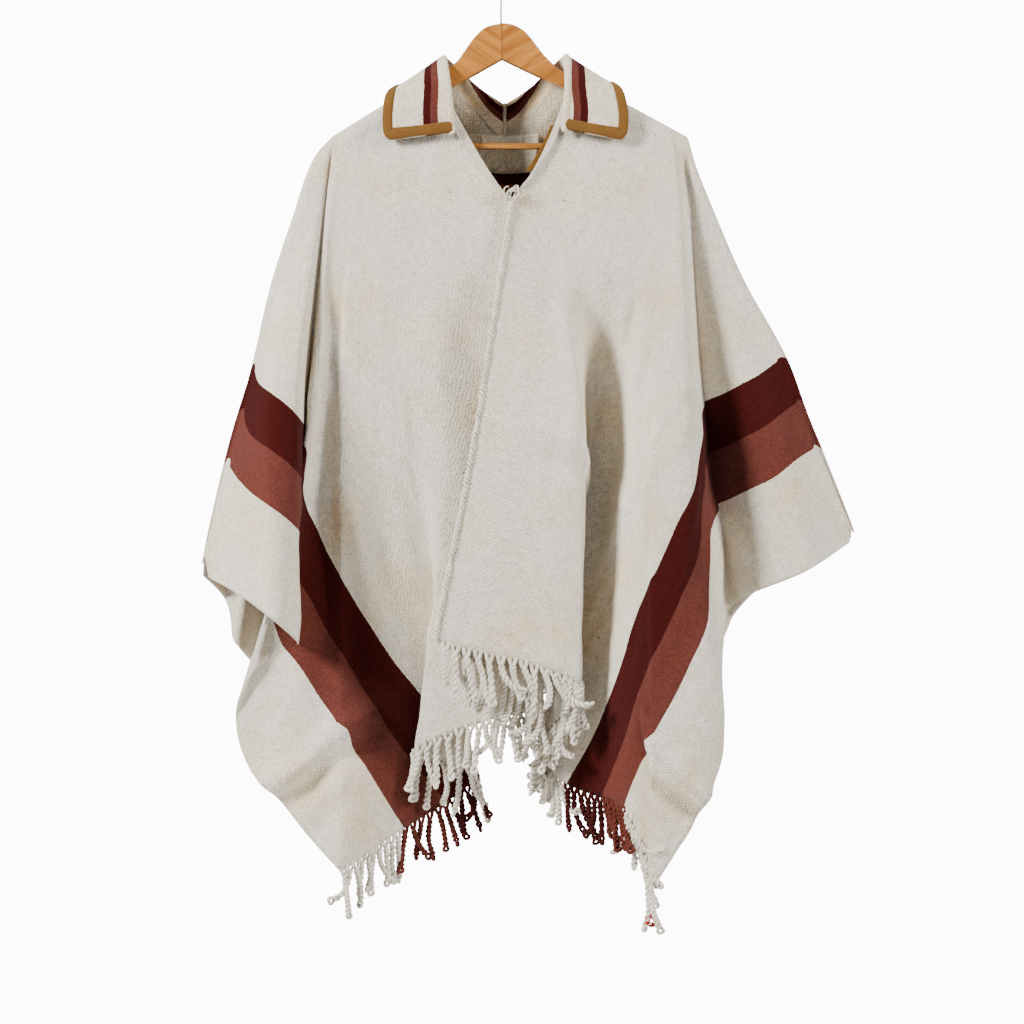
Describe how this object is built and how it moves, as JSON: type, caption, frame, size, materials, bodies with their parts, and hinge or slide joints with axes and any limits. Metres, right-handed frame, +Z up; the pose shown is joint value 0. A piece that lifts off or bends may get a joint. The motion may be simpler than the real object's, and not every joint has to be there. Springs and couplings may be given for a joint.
{
  "type": "andean poncho on a coat hanger",
  "caption": "Cream wool poncho with dark and brick stripes, folded collar with an ochre braid edge and knotted fringe, hung on a wooden coat hanger with a steel hook.",
  "frame": {"origin": "underside of the hook's crown, where a rail holds the hanger", "axes": "+Z up, -Y out of the poncho's front, +X to the right as seen from the front"},
  "size_m": [0.8293, 0.2934, 1.1896],
  "materials": {
    "cream_wool": "matte",
    "wool_fringe": "matte",
    "ochre_braid": "matte",
    "label_cloth": "satin",
    "varnished_wood": "satin",
    "steel": "satin"
  },
  "bodies": {
    "root": {"half_left": "cream_wool", "half_right": "cream_wool", "collar_left": "cream_wool", "collar_right": "cream_wool", "binding_left": "ochre_braid", "binding_right": "ochre_braid", "fringe_front_left": "wool_fringe", "fringe_front_right": "wool_fringe", "fringe_back_left": "wool_fringe", "fringe_back_right": "wool_fringe", "neck_facing": "cream_wool", "neck_label": "label_cloth", "slit_tape": "ochre_braid", "hanger_arm_left": "varnished_wood", "hanger_arm_right": "varnished_wood", "hanger_bar": "varnished_wood", "hanger_hook": "steel"}
  },
  "joints": []
}
